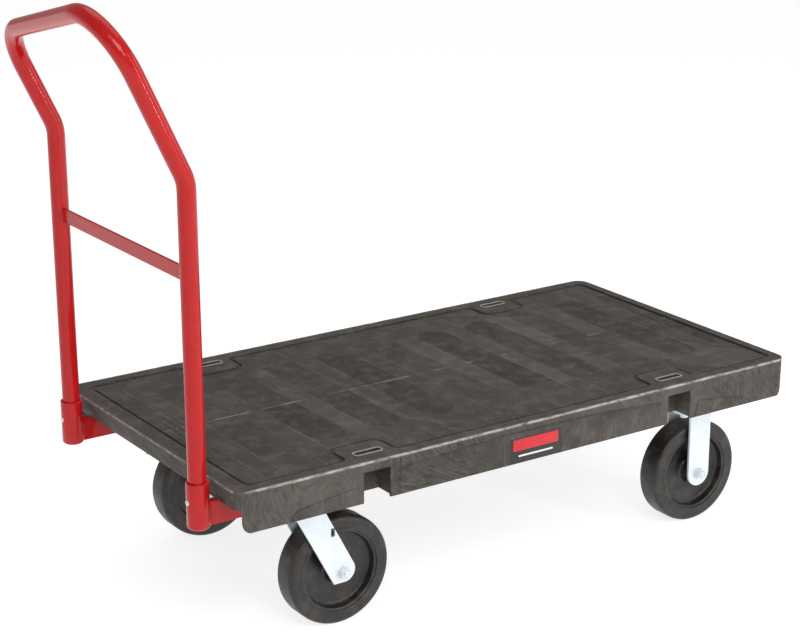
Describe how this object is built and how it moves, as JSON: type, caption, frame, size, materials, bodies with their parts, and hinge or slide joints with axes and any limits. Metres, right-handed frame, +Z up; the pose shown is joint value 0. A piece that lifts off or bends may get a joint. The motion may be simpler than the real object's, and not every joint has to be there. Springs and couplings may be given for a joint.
{
  "type": "platform cart",
  "caption": "Platform cart: ribbed resin deck with strap slots, two swivel and two rigid casters, and a tilted-loop push handle in bolted sockets.",
  "frame": {"origin": "on the floor under the middle of the whole cart", "axes": "+X along the deck, away from the handle; +Y to the left of someone pushing; +Z up"},
  "size_m": [1.3929, 0.642, 1.1106],
  "materials": {
    "deck_resin": "swirled structural foam, satin",
    "red_paint": "gloss",
    "badge": "gloss label with a plain red band",
    "beam_steel": "galvanised",
    "brass": "turned",
    "tyre": "moulded rubber, satin",
    "wheel_core": "moulded, satin",
    "bare_steel": "oiled",
    "zinc": "bright zinc plate"
  },
  "bodies": {
    "chassis": {"deck": "deck_resin", "deck_beams": "beam_steel", "threaded_inserts": "brass", "badge": "badge", "handle_tube": "red_paint", "handle_crossbar": "red_paint", "socket_left": "red_paint", "socket_right": "red_paint", "bracket_left": "red_paint", "bracket_right": "red_paint", "socket_screws": "zinc", "swivel_plate_left": "zinc", "race_balls_left": "bare_steel", "kingpin_left": "bare_steel", "kingpin_nut_left": "zinc", "thrust_washer_left": "bare_steel", "swivel_bolts_left": "zinc", "swivel_plate_right": "zinc", "race_balls_right": "bare_steel", "kingpin_right": "bare_steel", "kingpin_nut_right": "zinc", "thrust_washer_right": "bare_steel", "swivel_bolts_right": "zinc", "rigid_fork_left": "zinc", "rigid_bolts_left": "zinc", "rigid_axle_bolt_left": "zinc", "rigid_axle_nut_left": "zinc", "rigid_axle_sleeve_left": "bare_steel", "rigid_fork_right": "zinc", "rigid_bolts_right": "zinc", "rigid_axle_bolt_right": "zinc", "rigid_axle_nut_right": "zinc", "rigid_axle_sleeve_right": "bare_steel"},
    "swivel_left": {"swivel_fork_left": "zinc", "swivel_axle_bolt_left": "zinc", "swivel_axle_nut_left": "zinc", "swivel_axle_sleeve_left": "bare_steel"},
    "swivel_wheel_left": {"swivel_tyre_left": "tyre", "swivel_core_left": "wheel_core", "swivel_bearing_left": "bare_steel"},
    "rigid_wheel_left": {"rigid_tyre_left": "tyre", "rigid_core_left": "wheel_core", "rigid_bearing_left": "bare_steel"},
    "swivel_right": {"swivel_fork_right": "zinc", "swivel_axle_bolt_right": "zinc", "swivel_axle_nut_right": "zinc", "swivel_axle_sleeve_right": "bare_steel"},
    "swivel_wheel_right": {"swivel_tyre_right": "tyre", "swivel_core_right": "wheel_core", "swivel_bearing_right": "bare_steel"},
    "rigid_wheel_right": {"rigid_tyre_right": "tyre", "rigid_core_right": "wheel_core", "rigid_bearing_right": "bare_steel"}
  },
  "joints": [
    {"name": "swivel_left_turn", "type": "hinge", "parent": "chassis", "child": "swivel_left", "pos_m": [-0.35949, 0.233, 0.2231], "axis": [0, 0, 1], "continuous": true},
    {"name": "swivel_wheel_left_roll", "type": "hinge", "parent": "swivel_left", "child": "swivel_wheel_left", "pos_m": [-0.29349, 0.233, 0.1016], "axis": [0, 1, 0], "continuous": true},
    {"name": "swivel_right_turn", "type": "hinge", "parent": "chassis", "child": "swivel_right", "pos_m": [-0.35949, -0.233, 0.2231], "axis": [0, 0, 1], "continuous": true},
    {"name": "swivel_wheel_right_roll", "type": "hinge", "parent": "swivel_right", "child": "swivel_wheel_right", "pos_m": [-0.29349, -0.233, 0.1016], "axis": [0, 1, 0], "continuous": true},
    {"name": "rigid_wheel_left_roll", "type": "hinge", "parent": "chassis", "child": "rigid_wheel_left", "pos_m": [0.52651, 0.233, 0.1016], "axis": [0, 1, 0], "continuous": true},
    {"name": "rigid_wheel_right_roll", "type": "hinge", "parent": "chassis", "child": "rigid_wheel_right", "pos_m": [0.52651, -0.233, 0.1016], "axis": [0, 1, 0], "continuous": true}
  ]
}
